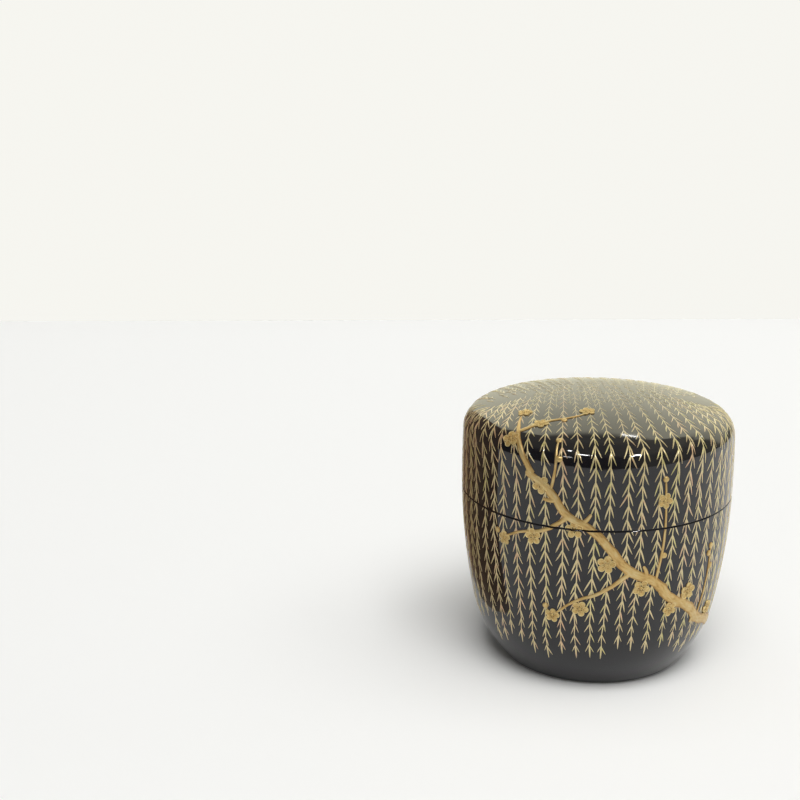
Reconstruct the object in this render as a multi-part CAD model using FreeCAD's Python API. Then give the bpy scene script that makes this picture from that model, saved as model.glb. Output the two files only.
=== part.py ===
# Natsume tea caddy: a turned wooden cup and a domed lid that slips over its rim, both coated with
# black lacquer, with a flowering plum bough in raised gold that runs across the joint between them.
# Millimetres, +Z up, origin at the centre of the foot. Azimuth 0 is the front, towards -Y.

import FreeCAD, Part
import math
import os

from FreeCAD import Vector

# The outside of the closed caddy, over its lacquer
caddy_diameter = 74.0
seam_height = 48.1
lid_height = 26.5
widest_above_seam = 3.1
belly_arc_radius = 173.0
belly_arc_foot_height = 17.0
foot_arc_radius = 35.7
lid_side_arc_radius = 423.0
shoulder_radius = 6.1
dome_radius = 126.0

caddy_height = seam_height + lid_height
widest_height = seam_height + widest_above_seam

# The joint between cup and lid
seam_edge_radius = 0.25
lid_skirt_thickness = 2.2
rim_clearance = 0.1
rim_thickness = 1.7
rim_height_share = 0.6
rim_edge_radius = 0.6

# Inside and underside
floor_thickness = 4.6
floor_corner_radius = 6.0
lid_top_thickness = 3.0
lid_corner_radius = 4.5
foot_ring_width = 3.4
recess_depth = 0.7
foot_edge_radius = 0.4

# Coats of lacquer, and how far the gold stands out from them
outer_coat = 0.5
inner_coat = 0.3
gold_relief = 0.25

# The plum bough. A place is an azimuth in degrees and a share of the way up the outline, which is
# 0 at the foot, 1 at the seam and 2 at the lid's centre.
bough_width = 3.1
bough_end_width = 1.9
branch_width = 1.3
shoot_width = 0.8
tip_width = 0.5
blossom_diameter = 4.8
bud_diameter = 1.7
notch_radius_share = 0.66
petals = 5

main_bough_shares = [
    (70, 0.28),
    (58, 0.36),
    (47, 0.40),
    (38, 0.52),
    (26, 0.59),
    (18, 0.72),
    (6, 0.77),
    (-2, 0.91),
    (-9, 1.01),
    (-20, 1.06),
    (-26, 1.18),
    (-37, 1.24),
]
top_bough_shares = [(-34, 1.23), (-40, 1.33), (-47, 1.43), (-57, 1.53)]
branch_shares = [
    [(7, 0.77), (-5, 0.65), (-15, 0.61), (-24, 0.51)],
    [(-18, 1.06), (-30, 0.96), (-38, 0.95), (-47, 0.89)],
    [(-46, 1.42), (-40, 1.56), (-24, 1.64), (-15, 1.72)],
]
shoot_shares = [
    [(46, 0.41), (49, 0.62), (48, 0.82)],
    [(18, 0.70), (21, 0.96), (20, 1.22)],
    [(-26, 1.17), (-24, 1.28), (-25, 1.40)],
]
# Each blossom's place, then its diameter as a share of blossom_diameter
blossom_shares = [
    (56, 0.43, 1.00),
    (36, 0.61, 1.05),
    (27, 0.53, 0.90),
    (12, 0.68, 1.00),
    (-3, 0.82, 1.05),
    (-13, 0.56, 0.95),
    (-25, 0.50, 0.85),
    (-16, 1.00, 1.00),
    (-33, 0.93, 0.95),
    (-47, 0.88, 0.80),
    (-30, 1.19, 1.05),
    (20, 1.13, 0.90),
    (-47, 1.37, 1.00),
    (-41, 1.52, 0.90),
    (-60, 1.57, 0.85),
    (-18, 1.71, 0.90),
]
bud_shares = [
    (50, 0.71),
    (47, 0.79),
    (48, 0.83),
    (21, 0.85),
    (20, 1.23),
    (-23, 1.32),
    (-25, 1.41),
    (-51, 0.91),
    (-28, 0.55),
    (-30, 1.59),
]

# Half of how deep a gold shape is cut through the surface, as a share of the caddy's diameter
bough_reach_share = 0.2
blossom_reach_share = 0.04
# How far a cutting shape runs past what it cuts, and how near two places count as one
overrun = 1.0
same_place = 0.0001


def crossing(first, first_radius, second, second_radius):
    """The higher of the two points where two circles in the half section cross."""
    across = second[0] - first[0]
    up = second[1] - first[1]
    distance = math.hypot(across, up)
    along = (distance**2 + first_radius**2 - second_radius**2) / (2 * distance)
    aside = math.sqrt(first_radius**2 - along**2)
    middle = (first[0] + along * across / distance, first[1] + along * up / distance)
    step = (aside * up / distance, aside * across / distance)
    points = [(middle[0] - step[0], middle[1] + step[1]), (middle[0] + step[0], middle[1] - step[1])]
    return max(points, key=lambda point: point[1])


def direction(start, end):
    """Angle above the horizontal of the line between two points of the half section."""
    return math.atan2(end[1] - start[1], end[0] - start[0])


def outside_arcs():
    """The outline as tangent arcs from the foot to the lid's centre: centre, radius, two angles."""
    half_width = caddy_diameter / 2
    belly = (half_width - belly_arc_radius, widest_height)
    side = (half_width - lid_side_arc_radius, widest_height)
    dome = (0, caddy_height - dome_radius)
    belly_angle = math.asin((belly_arc_foot_height - widest_height) / belly_arc_radius)
    reach = belly_arc_radius - foot_arc_radius
    low = (belly[0] + reach * math.cos(belly_angle), belly[1] + reach * math.sin(belly_angle))
    foot_angle = math.asin(-low[1] / foot_arc_radius)
    shoulder = crossing(side, lid_side_arc_radius - shoulder_radius, dome, dome_radius - shoulder_radius)
    return [
        (low, foot_arc_radius, foot_angle, belly_angle),
        (belly, belly_arc_radius, belly_angle, 0),
        (side, lid_side_arc_radius, 0, direction(side, shoulder)),
        (shoulder, shoulder_radius, direction(side, shoulder), direction(dome, shoulder)),
        (dome, dome_radius, direction(dome, shoulder), math.pi / 2),
    ]


def arc(centre, radius, start, end):
    """Arc in the half section, which lies in the XZ plane, from one angle to another."""
    points = []
    for angle in (start, (start + end) / 2, end):
        points.append(Vector(centre[0] + radius * math.cos(angle), 0, centre[1] + radius * math.sin(angle)))
    return Part.Arc(*points).toShape()


def angle_at(centre, radius, height):
    """Angle at which an arc reaches a height, or its lowest or highest angle if it never does."""
    return math.asin(max(-1, min(1, (height - centre[1]) / radius)))


def outline(inset, low, high):
    """Edges of the outside from one height up to another, set in from it by a coat or a wall."""
    edges = []
    for centre, full_radius, start, end in outside_arcs():
        radius = full_radius - inset
        start = max(start, angle_at(centre, radius, low))
        end = min(end, angle_at(centre, radius, high))
        if end > start:
            edges.append(arc(centre, radius, start, end))
    return edges


def radius_at(inset, height):
    """Radius of the inset outline at a height."""
    for centre, full_radius, start, end in outside_arcs():
        radius = full_radius - inset
        angle = angle_at(centre, radius, height)
        if start <= angle <= end:
            return centre[0] + radius * math.cos(angle)


def line(start, end):
    """Straight edge in the half section between two points given as radius and height."""
    return Part.makeLine(Vector(start[0], 0, start[1]), Vector(end[0], 0, end[1]))


def section(edges):
    """Face in the half section, from a path of edges closed by level lines to the axis."""
    first = edges[0].firstVertex(True).Point
    last = edges[-1].lastVertex(True).Point
    corners = [last, Vector(0, 0, last.z), Vector(0, 0, first.z), first]
    lines = [Part.makeLine(a, b) for a, b in zip(corners, corners[1:]) if not a.isEqual(b, same_place)]
    return Part.Face(Part.Wire([*edges, *lines]))


def block(radius, low, high):
    """Face in the half section of a disc between two heights."""
    return section([line((radius, low), (radius, high))])


def turned(face):
    """Solid turned from a face of the half section."""
    return face.Faces[0].revolve(Vector(0, 0, 0), Vector(0, 0, 1), 360)


def rounded(shape, size, radius, height):
    """Round the circular edge that has this radius and height."""
    centre = Vector(0, 0, height)
    edges = [
        edge
        for edge in shape.Edges
        if not edge.Degenerated
        and isinstance(edge.Curve, Part.Circle)
        and edge.Curve.Center.isEqual(centre, same_place)
        and abs(edge.Curve.Radius - radius) < same_place
    ]
    return shape.makeFillet(size, edges)


def lid_corner():
    """Centre of the arc that joins the lid's bore to its ceiling."""
    across = bore_radius - lid_corner_radius
    reach = dome_radius - lid_top_thickness - lid_corner_radius
    return across, caddy_height - dome_radius + math.sqrt(reach**2 - across**2)


wall = lid_skirt_thickness + rim_clearance + rim_thickness
bore_radius = radius_at(0, seam_height) - lid_skirt_thickness
rim_radius = bore_radius - rim_clearance
rim_top = seam_height + rim_height_share * (lid_corner()[1] - seam_height)
foot_radius = radius_at(0, 0)
recess_radius = foot_radius - foot_ring_width


def cup_hollow(grown):
    """Section of the space inside the cup and its rim, grown all round by a coat."""
    low, full_radius, start, end = outside_arcs()[0]
    corner_radius = floor_corner_radius + grown
    reach = full_radius - wall + grown - corner_radius
    rise = floor_thickness - grown + corner_radius - low[1]
    corner = (low[0] + math.sqrt(reach**2 - rise**2), low[1] + rise)
    floor_edge = arc(corner, corner_radius, -math.pi / 2, direction(low, corner))
    sides = outline(wall - grown, floor_edge.lastVertex(True).Point.z, seam_height)
    mouth_radius = radius_at(wall - grown, seam_height)
    edge_radius = rim_edge_radius - grown
    lip_radius = mouth_radius + edge_radius
    top = rim_top - grown
    return section(
        [
            floor_edge,
            *sides,
            line((mouth_radius, seam_height), (mouth_radius, top - edge_radius)),
            arc((lip_radius, top - edge_radius), edge_radius, math.pi, math.pi / 2),
            line((lip_radius, top), (lip_radius, top + overrun)),
        ]
    )


def cup(outer_inset, inner_inset):
    """Section of the cup: its side and underside, then its ledge, rim and inside, set in by a coat."""
    ledge = seam_height - inner_inset
    top = rim_top - inner_inset
    radius = rim_radius - inner_inset
    edge_radius = rim_edge_radius - inner_inset
    path = [
        *outline(outer_inset, outer_inset, ledge),
        line((radius_at(outer_inset, ledge), ledge), (radius, ledge)),
        line((radius, ledge), (radius, top - edge_radius)),
        arc((radius - edge_radius, top - edge_radius), edge_radius, 0, math.pi / 2),
    ]
    recess = block(recess_radius + outer_inset, 0, recess_depth + outer_inset)
    return section(path).cut(recess).cut(cup_hollow(inner_inset))


def lid_hollow(grown):
    """Section of the space inside the lid, grown all round by a coat."""
    dome = (0, caddy_height - dome_radius)
    corner = lid_corner()
    side_radius = bore_radius + grown
    return section(
        [
            line((side_radius, seam_height - overrun), (side_radius, corner[1])),
            arc(corner, lid_corner_radius + grown, 0, direction(dome, corner)),
            arc(dome, dome_radius - lid_top_thickness + grown, direction(dome, corner), math.pi / 2),
        ]
    )


def lid(outer_inset, inner_inset):
    """Section of the lid: its outside, then its lower edge and inside, set in by a coat."""
    face = section(outline(outer_inset, seam_height + inner_inset, caddy_height))
    return face.cut(lid_hollow(inner_inset))


def outer_coats():
    """The cup's outer lacquer as a side and an underside, and the lid's outer lacquer."""
    seam_radius = radius_at(0, seam_height)
    ring_radius = recess_radius + outer_coat
    side = section(outline(0, outer_coat, seam_height)).cut(section(outline(outer_coat, 0, seam_height)))
    below = section(
        [
            *outline(0, 0, outer_coat),
            line((radius_at(0, outer_coat), outer_coat), (ring_radius, outer_coat)),
            line((ring_radius, outer_coat), (ring_radius, recess_depth + outer_coat)),
        ]
    ).cut(block(recess_radius, 0, recess_depth))
    top = section(outline(0, seam_height, caddy_height))
    top = top.cut(section(outline(outer_coat, seam_height, caddy_height)))
    return (
        rounded(turned(side), seam_edge_radius, seam_radius, seam_height),
        rounded(turned(below), foot_edge_radius, foot_radius, 0),
        rounded(turned(top), seam_edge_radius, seam_radius, seam_height),
    )


def way_to(height):
    """Length of the outline from the foot up to a height."""
    way = 0
    for centre, radius, start, end in outside_arcs():
        way = way + radius * (min(end, max(start, angle_at(centre, radius, height))) - start)
    return way


def surface_frame(azimuth, way_share):
    """Point, outward normal and uphill direction at a place on the outside."""
    cup_way = way_to(seam_height)
    lid_way = way_to(caddy_height) - cup_way
    left = cup_way * min(way_share, 1) + lid_way * max(way_share - 1, 0)
    for centre, radius, start, end in outside_arcs():
        if left <= radius * (end - start):
            break
        left = left - radius * (end - start)
    angle = start + left / radius
    turn = math.radians(azimuth)
    outward = Vector(math.sin(turn), -math.cos(turn), 0)
    upright = Vector(0, 0, 1)
    point = outward * (centre[0] + radius * math.cos(angle))
    point = point + upright * (centre[1] + radius * math.sin(angle))
    normal = outward * math.cos(angle) + upright * math.sin(angle)
    uphill = upright * math.cos(angle) - outward * math.sin(angle)
    return point, normal, uphill


def prism(wire, facing, reach):
    """Closed flat outline pushed both ways through the surface, along the way it faces."""
    wire.translate(facing * -reach)
    return Part.Face(wire).extrude(facing * (2 * reach))


def limb(places, start_width, end_width):
    """A tapering stretch of bough that follows places on the surface."""
    frames = [surface_frame(*place) for place in places]
    facing = Vector(0, 0, 0)
    for point, normal, uphill in frames:
        facing = facing + normal
    facing.normalize()
    depth = sum(point.dot(facing) for point, normal, uphill in frames) / len(frames)
    last = len(frames) - 1
    left = []
    right = []
    for i, (point, normal, uphill) in enumerate(frames):
        along = frames[min(i + 1, last)][0] - frames[max(i - 1, 0)][0]
        half_width = (start_width + (end_width - start_width) * i / last) / 2
        aside = normal.cross(along).normalize() * half_width
        left.append(point + aside)
        right.append(point - aside)
    corners = [corner + facing * (depth - corner.dot(facing)) for corner in [*left, *reversed(right)]]
    return prism(Part.makePolygon([*corners, corners[0]]), facing, caddy_diameter * bough_reach_share)


def blossom(azimuth, way_share, size_share):
    """A flower of round petals, which meet at notches round its centre."""
    point, normal, uphill = surface_frame(azimuth, way_share)
    across = uphill.cross(normal)
    tip_radius = blossom_diameter * size_share / 2
    spots = []
    for k in range(2 * petals + 1):
        angle = math.pi * k / petals
        radius = tip_radius * (notch_radius_share if k % 2 == 0 else 1)
        spots.append(point + across * (radius * math.sin(angle)) - uphill * (radius * math.cos(angle)))
    spots[-1] = spots[0]
    arcs = [Part.Arc(*spots[k : k + 3]).toShape() for k in range(0, 2 * petals, 2)]
    return prism(Part.Wire(arcs), normal, caddy_diameter * blossom_reach_share)


def bud(azimuth, way_share):
    """A closed bud, a plain round spot."""
    point, normal, uphill = surface_frame(azimuth, way_share)
    circle = Part.Wire(Part.Circle(point, normal, bud_diameter / 2).toShape())
    return prism(circle, normal, caddy_diameter * blossom_reach_share)


def bough_shapes():
    """The bough with its branches and shoots, as one prism through the surface."""
    limbs = [
        limb(main_bough_shares, bough_width, bough_end_width),
        limb(top_bough_shares, bough_end_width, tip_width),
    ]
    limbs += [limb(places, branch_width, tip_width) for places in branch_shares]
    limbs += [limb(places, shoot_width, tip_width) for places in shoot_shares]
    return limbs[0].multiFuse(limbs[1:])


def skin(low, high, top):
    """Layer as thick as the gold over the outside, from one height up to another."""
    return turned(section(outline(-gold_relief, low, top)).cut(section(outline(0, low, high))))


def make_parts():
    """Every separate piece of the caddy by name."""
    side_coat, foot_coat, lid_coat = outer_coats()
    cup_core = cup(outer_coat, inner_coat)
    lid_core = lid(outer_coat, inner_coat)
    bough = bough_shapes()
    blossoms = [blossom(*place) for place in blossom_shares] + [bud(*place) for place in bud_shares]
    cup_top = seam_height - seam_edge_radius
    cup_skin = skin(outer_coat, cup_top, cup_top)
    lid_skin = skin(seam_height + seam_edge_radius, caddy_height, caddy_height + gold_relief)
    return {
        "body_core": turned(cup_core),
        "body_outer_lacquer": side_coat,
        "foot_lacquer": foot_coat,
        "body_inner_lacquer": turned(cup(outer_coat, 0).cut(cup_core)),
        "body_gold_bough": cup_skin.common(bough).cut(blossoms),
        "body_gold_blossoms": cup_skin.common(blossoms),
        "lid_core": turned(lid_core),
        "lid_outer_lacquer": lid_coat,
        "lid_inner_lacquer": turned(lid(outer_coat, 0).cut(lid_core)),
        "lid_gold_bough": lid_skin.common(bough).cut(blossoms),
        "lid_gold_blossoms": lid_skin.common(blossoms),
    }


os.makedirs("parts", exist_ok=True)
for name, shape in make_parts().items():
    shape.exportStep(f"parts/{name}.step")
    box = shape.optimalBoundingBox()
    print(
        f"{name}: {len(shape.Solids)} solids, valid {shape.isValid()}, {shape.Volume:.1f} mm3,"
        f" x {box.XMin:.2f} {box.XMax:.2f}, y {box.YMin:.2f} {box.YMax:.2f}, z {box.ZMin:.2f} {box.ZMax:.2f}"
    )
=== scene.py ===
"""Dresses the natsume tea caddy: black lacquer coats, a gold willow that hangs all round, and a plum
bough in raised gold across the seam. Metres; azimuth 0 is the front, towards -Y."""

import math
import random
from bisect import bisect

import bpy
from bpy.props import FloatProperty, FloatVectorProperty, IntProperty, PointerProperty
from mathutils import Matrix, Vector


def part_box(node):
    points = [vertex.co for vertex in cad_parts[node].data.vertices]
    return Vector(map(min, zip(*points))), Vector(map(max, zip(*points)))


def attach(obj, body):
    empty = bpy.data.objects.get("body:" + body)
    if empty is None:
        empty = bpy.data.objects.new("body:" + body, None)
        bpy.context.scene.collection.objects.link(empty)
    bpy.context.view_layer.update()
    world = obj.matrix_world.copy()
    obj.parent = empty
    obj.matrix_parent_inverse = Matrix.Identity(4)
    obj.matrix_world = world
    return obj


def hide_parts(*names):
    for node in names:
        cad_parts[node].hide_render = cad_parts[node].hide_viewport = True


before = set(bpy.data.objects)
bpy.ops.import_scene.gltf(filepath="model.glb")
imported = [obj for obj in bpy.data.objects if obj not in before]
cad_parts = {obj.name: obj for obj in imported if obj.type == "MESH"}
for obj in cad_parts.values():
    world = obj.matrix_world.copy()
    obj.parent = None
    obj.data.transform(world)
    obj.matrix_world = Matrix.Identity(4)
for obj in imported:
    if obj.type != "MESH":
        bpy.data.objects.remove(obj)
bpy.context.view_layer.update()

bl_info = {
    "name": "Natsume tea caddy",
    "version": (1, 0, 0),
    "blender": (4, 5, 0),
    "location": "3D View > Sidebar > Caddy",
    "description": "Black lacquer, a gold willow and a plum bough for a turned tea caddy",
    "category": "Object",
}

MM = 0.001
CUP_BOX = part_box("body_outer_lacquer")
LID_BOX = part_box("lid_outer_lacquer")

# The longest steps along an arc that is drawn, as an angle and as a length
ARC_ANGLE = math.radians(2.5)
ARC_CHORD = 2.5 * MM
# Angle at which the rounding under the foot meets the side
FOOT_TURN = -0.74
# Share of the room inside the lid that the cup's rim takes up
RIM_SHARE = 0.6
# Nearer than this to the lid's centre, the surface is moved over as if it were flat
FLAT_TOP = 20 * MM
# How deep the foot of a stroke is sunk in the lacquer
SUNK = 0.01 * MM
# Width of a willow leaf from its base to its tip, as shares of its full width, and of its top face
LEAF_WIDTHS = (0.45, 0.88, 1.0, 0.96, 0.84, 0.6, 0.2)
LEAF_TOP = 0.7
# Way along a limb for each knot in its edges
KNOT_SPACING = 2.6 * MM
# The finest stroke's width on the lid's top, as a share of the full width
FINEST = 0.44

# The plum bough. A place is an azimuth in degrees and a share of the way up the outside, which is
# 0 at the foot, 1 at the seam and 2 at the lid's centre.
MAIN_BOUGH = [
    (70, 0.28), (58, 0.36), (47, 0.40), (38, 0.52), (26, 0.59), (18, 0.72),
    (6, 0.77), (-2, 0.91), (-9, 1.01), (-20, 1.06), (-26, 1.18), (-37, 1.24),
]
TOP_BOUGH = [(-34, 1.23), (-40, 1.33), (-47, 1.43), (-57, 1.53)]
BRANCHES = [
    [(7, 0.77), (-5, 0.65), (-15, 0.61), (-24, 0.51)],
    [(-18, 1.06), (-30, 0.96), (-38, 0.95), (-47, 0.89)],
    [(-46, 1.42), (-40, 1.56), (-24, 1.64), (-15, 1.72)],
]
SHOOTS = [
    [(46, 0.41), (49, 0.62), (48, 0.82)],
    [(18, 0.70), (21, 0.96), (20, 1.22)],
    [(-26, 1.17), (-24, 1.28), (-25, 1.40)],
]
SPURS = [
    [(34.5, 0.545), (33.2, 0.575), (32.6, 0.607)],
    [(43.5, 0.455), (42.3, 0.425), (42.0, 0.398)],
    [(14.0, 0.738), (13.6, 0.775), (12.2, 0.803)],
    [(1.5, 0.835), (-1.2, 0.815), (-3.6, 0.806)],
    [(-13.0, 1.030), (-11.2, 1.050), (-9.6, 1.078)],
    [(-23.5, 1.130), (-26.5, 1.122), (-29.0, 1.128)],
]
# Each blossom's place, then its share of the full size
BLOSSOMS = [
    (56, 0.43, 1.00), (36, 0.61, 1.05), (27, 0.53, 0.90), (12, 0.68, 1.00),
    (-3, 0.82, 1.05), (-13, 0.56, 0.95), (-25, 0.50, 0.85), (-16, 1.00, 1.00),
    (-33, 0.93, 0.95), (-47, 0.88, 0.80), (-30, 1.19, 1.05), (20, 1.13, 0.90),
    (-47, 1.37, 1.00), (-41, 1.52, 0.90), (-60, 1.57, 0.85), (-18, 1.71, 0.90),
]
BUDS = [
    (50, 0.71), (47, 0.79), (48, 0.83), (21, 0.85), (20, 1.23),
    (-23, 1.32), (-25, 1.41), (-51, 0.91), (-28, 0.55), (-30, 1.59),
]


def length(name, description, default):
    """A length in metres that shows in the sidebar."""
    return FloatProperty(
        name=name, description=description, default=default, unit="LENGTH", precision=5
    )


def colour(name, description, default):
    """A colour that shows in the sidebar."""
    return FloatVectorProperty(
        name=name, description=description, default=default, subtype="COLOR", size=3, min=0, max=1
    )


class CaddyShape(bpy.types.PropertyGroup):
    """Sizes of the turned cup and lid."""

    diameter: length("Diameter", "Across the widest place", LID_BOX[1].x - LID_BOX[0].x)
    height: length("Height", "From the foot to the lid's centre", LID_BOX[1].z)
    seam_height: length("Seam height", "Where the lid meets the cup", CUP_BOX[1].z)
    widest_height: length("Widest height", "Height of the widest place", 51.2 * MM)
    belly_radius: length("Belly arc", "Radius of the cup's long side arc", 173 * MM)
    belly_foot_height: length("Foot arc's top", "Where the side turns in to the foot", 17 * MM)
    foot_arc_radius: length("Foot arc", "Radius of the arc that turns in to the foot", 35.7 * MM)
    lid_side_radius: length("Lid side arc", "Radius of the lid's side", 423 * MM)
    shoulder_radius: length("Shoulder", "Radius of the lid's shoulder", 6.1 * MM)
    dome_radius: length("Dome", "Radius of the lid's top", 126 * MM)
    seam_rounding: length("Seam rounding", "Rounding of the lacquer at the seam", 0.34 * MM)
    outer_coat: length("Outer coat", "Thickness of the lacquer outside", 0.5 * MM)
    inner_coat: length("Inner coat", "Thickness of the lacquer inside", 0.3 * MM)
    skirt: length("Lid skirt", "Thickness of the lid round the rim", 2.2 * MM)
    rim_gap: length("Rim clearance", "Air between rim and lid", 0.1 * MM)
    rim_thickness: length("Rim thickness", "Thickness of the upright rim", 1.7 * MM)
    rim_rounding: length("Rim rounding", "Rounding along the rim's top", 0.6 * MM)
    floor_thickness: length("Floor", "Thickness of the cup's floor", 4.6 * MM)
    floor_corner: length("Floor corner", "Radius between floor and side inside", 6 * MM)
    lid_thickness: length("Lid top", "Thickness of the lid's top", 3 * MM)
    lid_corner: length("Lid corner", "Radius between bore and ceiling", 4.5 * MM)
    foot_ring: length("Foot ring", "Width of the ring that it stands on", 3.4 * MM)
    recess: length("Recess", "Depth of the hollow under the foot", 0.7 * MM)
    foot_rounding: length("Foot rounding", "Rounding at the foot's edge", 0.4 * MM)
    steps: IntProperty(name="Steps", description="Facets round the caddy", default=288, min=32)


class CaddyWillow(bpy.types.PropertyGroup):
    """Sizes of the hanging willow."""

    strands: IntProperty(name="Strands", description="Strands all round", default=56, min=8)
    leaf_length: length("Leaf length", "Length of a willow leaf", 4.15 * MM)
    leaf_width: length("Leaf width", "Width of a willow leaf", 0.42 * MM)
    leaf_spacing: length("Leaf spacing", "Way between two pairs of leaves", 3.3 * MM)
    stem_width: length("Stem width", "Width of a strand's stem", 0.32 * MM)
    seam_gap: length("Seam gap", "From the seam to where the gold stops", 0.31 * MM)
    relief: length("Relief", "How far the gold stands out", 0.06 * MM)
    spread: FloatProperty(
        name="Spread",
        description="Angle between leaf and stem",
        default=math.radians(20),
        subtype="ANGLE",
    )
    bare_foot: length("Bare foot", "Way from the foot to the lowest tips", 10.5 * MM)
    fan: length("Fan", "How far behind the lid the strands would meet", 75 * MM)
    seed: IntProperty(name="Seed", description="Choice of the small differences", default=8)


class CaddyPlum(bpy.types.PropertyGroup):
    """Sizes of the plum bough."""

    bough_width: length("Bough width", "Width where the bough starts", 3.1 * MM)
    bough_end_width: length("Bough end", "Width where the bough turns thin", 1.9 * MM)
    branch_width: length("Branch width", "Width where a branch starts", 1.3 * MM)
    shoot_width: length("Shoot width", "Width where a shoot starts", 0.8 * MM)
    tip_width: length("Tip width", "Width at the tips", 0.5 * MM)
    relief: length("Relief", "How far the bough stands out", 0.34 * MM)
    blossom: length("Blossom", "Across a blossom", 4.8 * MM)
    bud: length("Bud", "Across a bud", 1.7 * MM)
    seed: IntProperty(name="Seed", description="Choice of the small differences", default=3)


class CaddyFinish(bpy.types.PropertyGroup):
    """Colours and gloss."""

    lacquer: colour("Lacquer", "Black lacquer", (0.0062, 0.0070, 0.0105))
    lacquer_roughness: FloatProperty(
        name="Lacquer roughness", description="Polish of the lacquer", default=0.045, min=0, max=1
    )
    pale_gold: colour("Pale gold", "Lightest gold of the willow", (0.65, 0.53, 0.28))
    warm_gold: colour("Warm gold", "Reddest gold of the willow", (0.62, 0.41, 0.24))
    green_gold: colour("Green gold", "Greenest gold of the willow", (0.58, 0.51, 0.20))
    bough_gold: colour("Bough gold", "Gold of the bough", (0.58, 0.39, 0.14))
    bark_gold: colour("Bark gold", "Darker gold in the bark", (0.36, 0.20, 0.06))
    petal_gold: colour("Petal gold", "Pale gold on the petals' rims", (0.74, 0.60, 0.29))
    wood: colour("Wood", "Turned wood under the lacquer", (0.47, 0.30, 0.16))


class CaddyStudio(bpy.types.PropertyGroup):
    """Camera, floor and light."""

    camera_place: FloatVectorProperty(
        name="Camera",
        description="Where the camera stands",
        default=(-54.214 * MM, -364.727 * MM, 173.365 * MM),
        subtype="TRANSLATION",
        size=3,
    )
    pitch: FloatProperty(
        name="Pitch", description="How far the camera looks down", default=0.26977, subtype="ANGLE"
    )
    roll: FloatProperty(
        name="Roll", description="How far the camera leans", default=0.00325, subtype="ANGLE"
    )
    lens: FloatProperty(name="Lens", description="Focal length in millimetres", default=62.33)
    table_front: length("Table front", "Where the pale table ends in front", -300 * MM)
    table_back: length("Table back", "Where the pale table ends behind", 440 * MM)
    table_colour: colour("Table", "Pale table", (0.93, 0.93, 0.91))
    backdrop_colour: colour("Backdrop", "Pale backdrop", (0.925, 0.918, 0.870))


def find(name):
    """The object of this name."""
    return bpy.data.objects[name]


def deselect():
    """Nothing is selected or being edited."""
    if bpy.context.object and bpy.context.object.mode != "OBJECT":
        bpy.ops.object.mode_set(mode="OBJECT")
    bpy.ops.object.select_all(action="DESELECT")


def choose(piece):
    """Only this piece is selected, and it is active."""
    deselect()
    piece.select_set(True)
    bpy.context.view_layer.objects.active = piece


def edit(piece):
    """Only this piece is being edited, and all of it is selected."""
    choose(piece)
    bpy.ops.object.mode_set(mode="EDIT")
    bpy.ops.mesh.select_all(action="SELECT")


def end_edit():
    """Turns the faces of the whole piece outward and ends its editing."""
    bpy.ops.mesh.select_all(action="SELECT")
    bpy.ops.mesh.normals_make_consistent(inside=False)
    bpy.ops.object.mode_set(mode="OBJECT")


def extrude(step):
    """Extrudes what is selected by a step."""
    bpy.ops.mesh.extrude_region_move(TRANSFORM_OT_translate={"value": step})


def resize(x, y, z, centre=(0, 0, 0)):
    """Scales what is selected about a point."""
    bpy.ops.transform.resize(value=(x, y, z), center_override=centre)


def move(x, y, z):
    """Moves what is selected."""
    bpy.ops.transform.translate(value=(x, y, z))


def named(name):
    """Names the new primitive, whose place goes into its mesh."""
    piece = bpy.context.object
    if piece.mode != "OBJECT":
        bpy.ops.object.mode_set(mode="OBJECT")
    piece.name = name
    piece.data.name = name
    bpy.ops.object.transform_apply(location=True, rotation=True, scale=True)
    return piece


def select_where(piece, test):
    """In edit mode, selects just the vertices whose place passes the test."""
    bpy.ops.mesh.select_mode(type="VERT")
    bpy.ops.mesh.select_all(action="DESELECT")
    bpy.ops.object.mode_set(mode="OBJECT")
    for vertex in piece.data.vertices:
        vertex.select = test(vertex.co)
    bpy.ops.object.mode_set(mode="EDIT")


def smooth(piece, angle):
    """Smooth shading, but for edges sharper than the angle."""
    choose(piece)
    bpy.ops.object.shade_smooth_by_angle(angle=angle)


def angle_at(centre, radius, height):
    """Angle at which an arc reaches a height, or its lowest or highest angle if it never does."""
    return math.asin(max(-1, min(1, (height - centre[1]) / radius)))


def direction(start, end):
    """Angle above the horizontal of the line between two points of the half section."""
    return math.atan2(end[1] - start[1], end[0] - start[0])


def on_arc(centre, radius, angle):
    """Point of an arc in the half section."""
    return centre[0] + radius * math.cos(angle), centre[1] + radius * math.sin(angle)


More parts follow.
